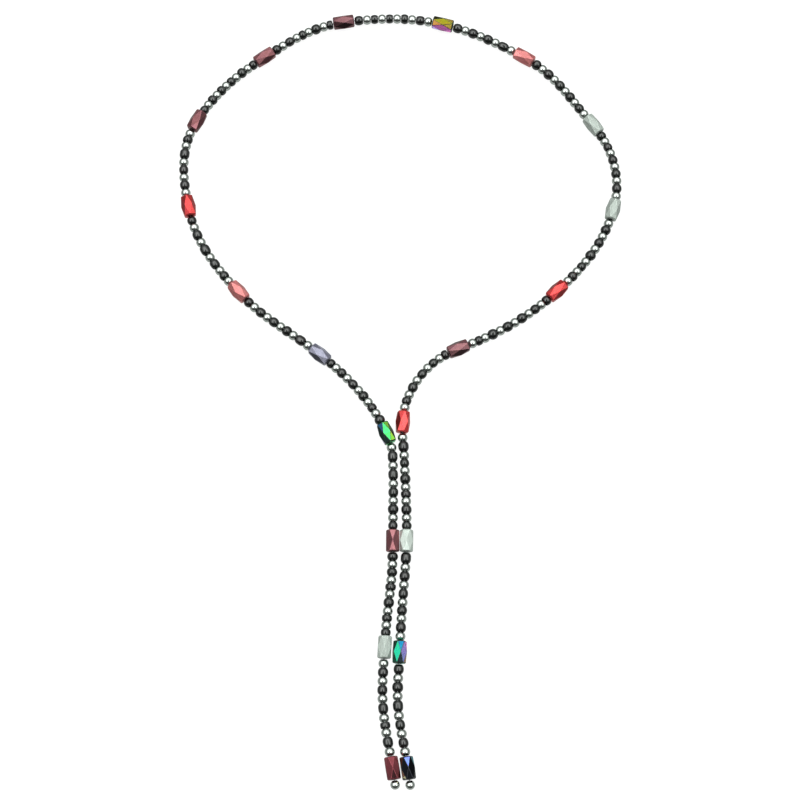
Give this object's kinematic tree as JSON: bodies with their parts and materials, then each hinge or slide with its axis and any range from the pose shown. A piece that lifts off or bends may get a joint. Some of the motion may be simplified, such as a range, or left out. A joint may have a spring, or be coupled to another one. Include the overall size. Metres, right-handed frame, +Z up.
{
  "type": "open ended magnetic wrap necklace",
  "caption": "Open ended bead strand laid as a neck loop with two tails side by side: faceted magnetic stones, silver balls and black glass seed beads.",
  "frame": {"origin": "on the surface that the necklace lies on, under the middle of its footprint", "axes": "+Z up; +Y from the two free tails towards the far side of the neck loop; +X to the wearer's left as seen from above with the tails nearest"},
  "size_m": [0.1878, 0.3311, 0.0062],
  "materials": {
    "wine_coat": "dark red lacquer over polished facets",
    "pearl_coat": "pale grey green satin coat",
    "mauve_coat": "mauve metallic coat",
    "lavender_coat": "lavender grey metallic coat",
    "coral_coat": "coral pink metallic coat",
    "red_coat": "bright red metallic coat",
    "umber_coat": "brown mauve metallic coat",
    "rainbow_coat": "mirror coat with another colour on each facet",
    "night_coat": "near black mirror coat with blue and gold facets",
    "silver": "mirror polish",
    "black_glass": "opaque glossy glass",
    "wire": "coated steel beading wire"
  },
  "bodies": {
    "root": {"facet_bead_01": "wine_coat", "facet_bead_02": "pearl_coat", "facet_bead_03": "mauve_coat", "facet_bead_04": "rainbow_coat", "facet_bead_05": "lavender_coat", "facet_bead_06": "coral_coat", "facet_bead_07": "red_coat", "facet_bead_08": "mauve_coat", "facet_bead_09": "mauve_coat", "facet_bead_10": "umber_coat", "facet_bead_11": "rainbow_coat", "facet_bead_12": "coral_coat", "facet_bead_13": "pearl_coat", "facet_bead_14": "pearl_coat", "facet_bead_15": "red_coat", "facet_bead_16": "umber_coat", "facet_bead_17": "red_coat", "facet_bead_18": "pearl_coat", "facet_bead_19": "rainbow_coat", "facet_bead_20": "night_coat", "silver_balls_left_tail": "silver", "silver_balls_left_loop": "silver", "silver_balls_right_loop": "silver", "silver_balls_right_tail": "silver", "glass_beads_left_tail": "black_glass", "glass_beads_left_loop": "black_glass", "glass_beads_right_loop": "black_glass", "glass_beads_right_tail": "black_glass", "end_ball_left": "silver", "end_ball_right": "silver", "thread": "wire"}
  },
  "joints": []
}
